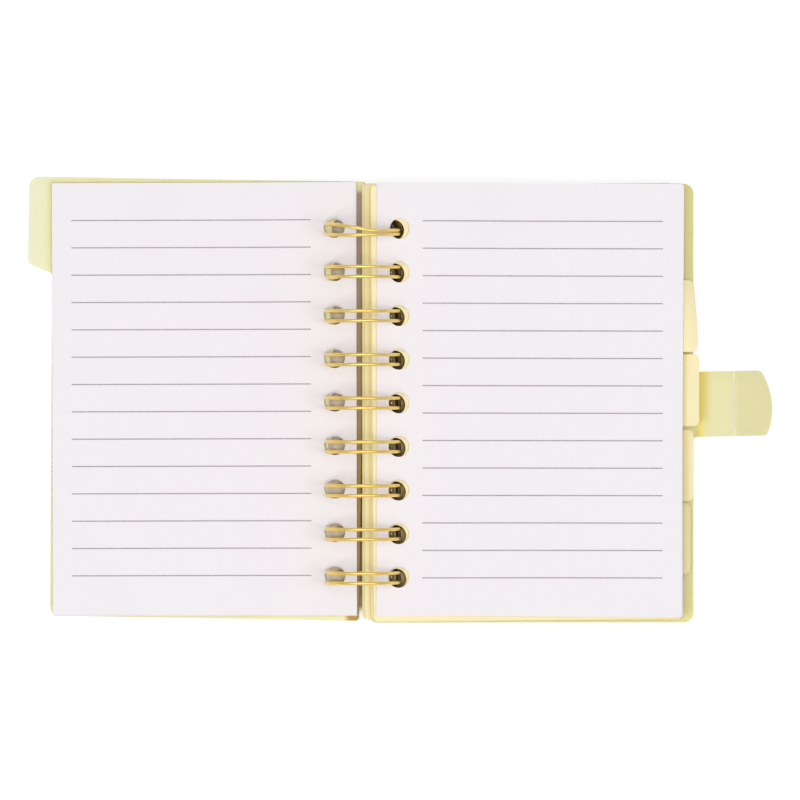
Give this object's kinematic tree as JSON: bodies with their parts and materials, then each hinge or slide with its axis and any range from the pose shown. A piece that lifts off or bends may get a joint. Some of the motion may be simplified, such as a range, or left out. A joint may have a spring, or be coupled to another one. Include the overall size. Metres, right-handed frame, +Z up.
{
  "type": "wire-bound notebook",
  "caption": "Open pocket notebook on twin-loop wire, with translucent plastic covers, ruled leaves, tabbed card dividers, an index tab and a closing strap.",
  "frame": {"origin": "centre of the open notebook's outline, at the height of the table it lies on", "axes": "+X from the front cover towards the closing strap, +Y along the loops towards the top edge of the leaves, +Z up from the table"},
  "size_m": [0.2177, 0.1304, 0.0222],
  "materials": {
    "cover_plastic": "translucent pale yellow-green film, finely matt",
    "leaf_paper": "uncoated white paper",
    "divider_card": "smooth cream card",
    "binding_wire": "polished gold-coloured coating on steel wire"
  },
  "bodies": {
    "back": {"back_cover": "cover_plastic", "wire_binding": "binding_wire", "leaves_5": "leaf_paper", "divider_4": "divider_card", "leaves_4": "leaf_paper", "divider_3": "divider_card", "leaves_3": "leaf_paper", "divider_2": "divider_card", "leaves_2": "leaf_paper", "divider_1": "divider_card", "leaves_1": "leaf_paper"},
    "front": {"front_cover": "cover_plastic", "turned_leaves": "leaf_paper"}
  },
  "joints": [
    {"name": "front_cover_turn", "type": "hinge", "parent": "back", "child": "front", "pos_m": [-0.01094, 0, 0.0111], "axis": [0, 1, 0], "range_deg": [0, 187.5]}
  ]
}
